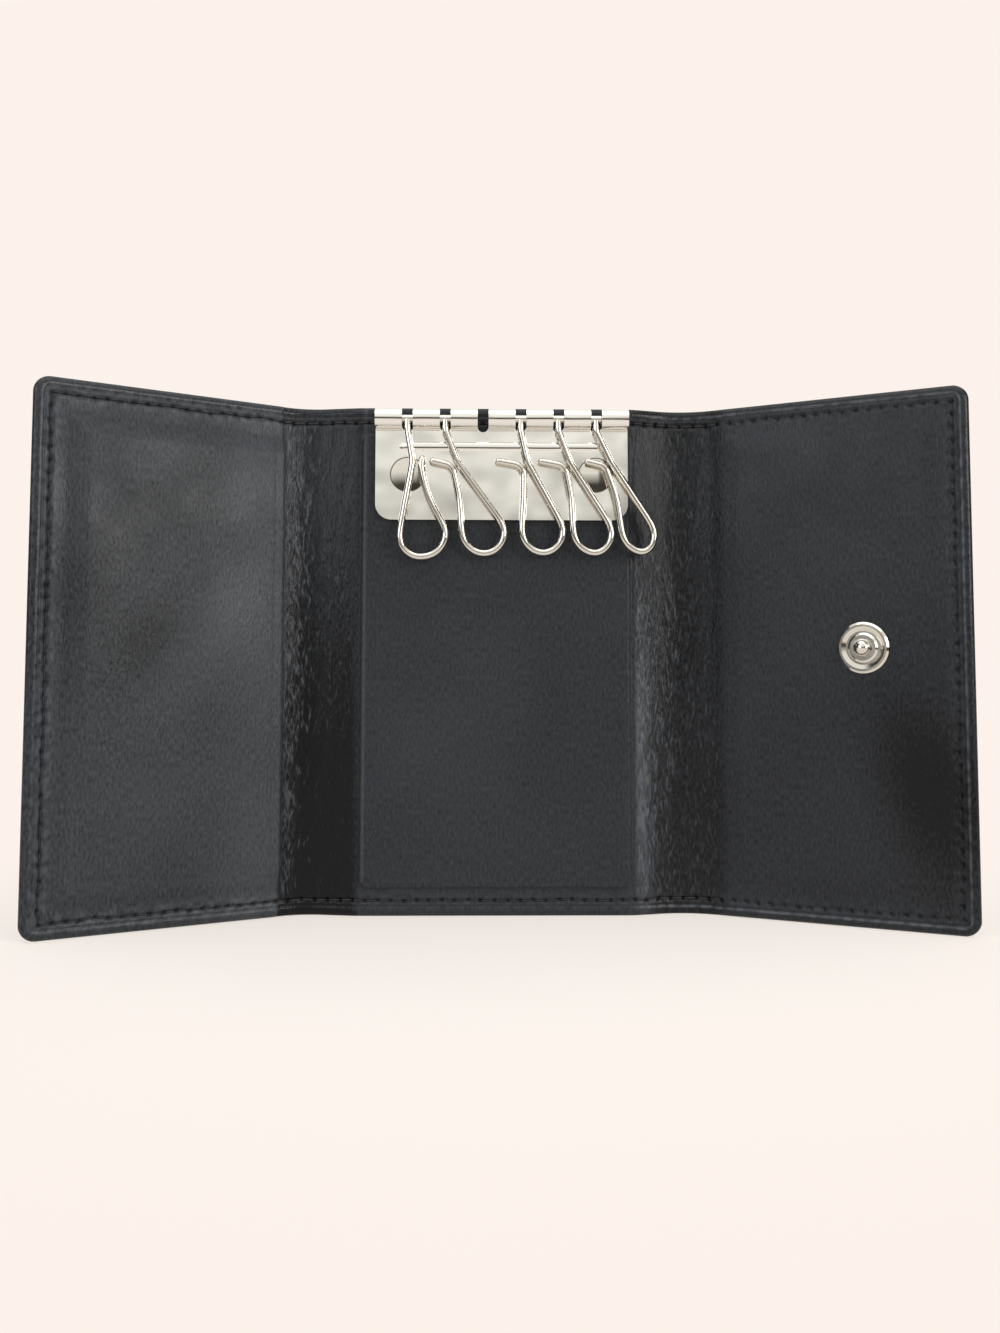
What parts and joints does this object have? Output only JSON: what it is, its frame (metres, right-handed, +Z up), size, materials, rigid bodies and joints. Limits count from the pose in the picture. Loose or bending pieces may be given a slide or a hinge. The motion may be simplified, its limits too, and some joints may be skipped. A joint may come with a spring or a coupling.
{
  "type": "key case",
  "caption": "Folding key case: leather panels on two soft spines, with a metal key plate, swinging wire hooks, a pocket and a snap fastener.",
  "frame": {"origin": "middle of the centre panel's bottom edge, in the plane of its inner skin", "axes": "+X to the right across the three panels, +Y from the inner side to the outer side, +Z up along the folds"},
  "size_m": [0.1704, 0.0312, 0.1],
  "materials": {
    "leather_outer": "satin",
    "leather_lining": "satin",
    "board": "matte",
    "nickel": "polished",
    "steel": "satin"
  },
  "bodies": {
    "centre": {"centre_outer": "leather_outer", "centre_lining": "leather_lining", "centre_board": "board", "key_plate": "nickel", "rivet_left": "nickel", "rivet_right": "nickel", "washer_left": "steel", "washer_right": "steel"},
    "left_spine": {"left_spine_outer": "leather_outer", "left_spine_lining": "leather_lining"},
    "left_wing": {"left_wing_outer": "leather_outer", "left_wing_lining": "leather_lining", "left_wing_board": "board", "left_pocket": "leather_lining", "snap_socket": "nickel", "socket_spring": "steel", "socket_rivet": "steel"},
    "right_spine": {"right_spine_outer": "leather_outer", "right_spine_lining": "leather_lining"},
    "right_wing": {"right_wing_outer": "leather_outer", "right_wing_lining": "leather_lining", "right_wing_board": "board", "snap_stud": "nickel", "stud_rivet": "steel"},
    "hook_1": {"hook_1": "nickel"},
    "hook_2": {"hook_2": "nickel"},
    "hook_4": {"hook_4": "nickel"},
    "hook_5": {"hook_5": "nickel"},
    "hook_6": {"hook_6": "nickel"}
  },
  "joints": [
    {"name": "left_fold", "type": "hinge", "parent": "centre", "child": "left_spine", "pos_m": [-0.0334, 0.0012, 0.05], "axis": [0, 0, 1], "range_deg": [-8.5, 81.5]},
    {"name": "left_wing_fold", "type": "hinge", "parent": "left_spine", "child": "left_wing", "pos_m": [-0.04141, 0, 0.05], "axis": [0, 0, 1], "range_deg": [-24.5, 65.5]},
    {"name": "right_fold", "type": "hinge", "parent": "centre", "child": "right_spine", "pos_m": [0.031, 0.0012, 0.05], "axis": [0, 0, -1], "range_deg": [-5.2, 84.8]},
    {"name": "right_wing_fold", "type": "hinge", "parent": "right_spine", "child": "right_wing", "pos_m": [0.04424, -0.00001, 0.05], "axis": [0, 0, -1], "range_deg": [-24.8, 65.2]},
    {"name": "hook_1_swing", "type": "hinge", "parent": "centre", "child": "hook_1", "pos_m": [-0.01752, -0.0026, 0.0973], "axis": [1, 0, 0], "range_deg": [-175, 0]},
    {"name": "hook_2_swing", "type": "hinge", "parent": "centre", "child": "hook_2", "pos_m": [-0.01008, -0.0026, 0.0973], "axis": [1, 0, 0], "range_deg": [-175, 0]},
    {"name": "hook_4_swing", "type": "hinge", "parent": "centre", "child": "hook_4", "pos_m": [0.00483, -0.0026, 0.0973], "axis": [1, 0, 0], "range_deg": [-175, 0]},
    {"name": "hook_5_swing", "type": "hinge", "parent": "centre", "child": "hook_5", "pos_m": [0.01227, -0.0026, 0.0973], "axis": [1, 0, 0], "range_deg": [-175, 0]},
    {"name": "hook_6_swing", "type": "hinge", "parent": "centre", "child": "hook_6", "pos_m": [0.01972, -0.0026, 0.0973], "axis": [1, 0, 0], "range_deg": [-175, 0]}
  ]
}
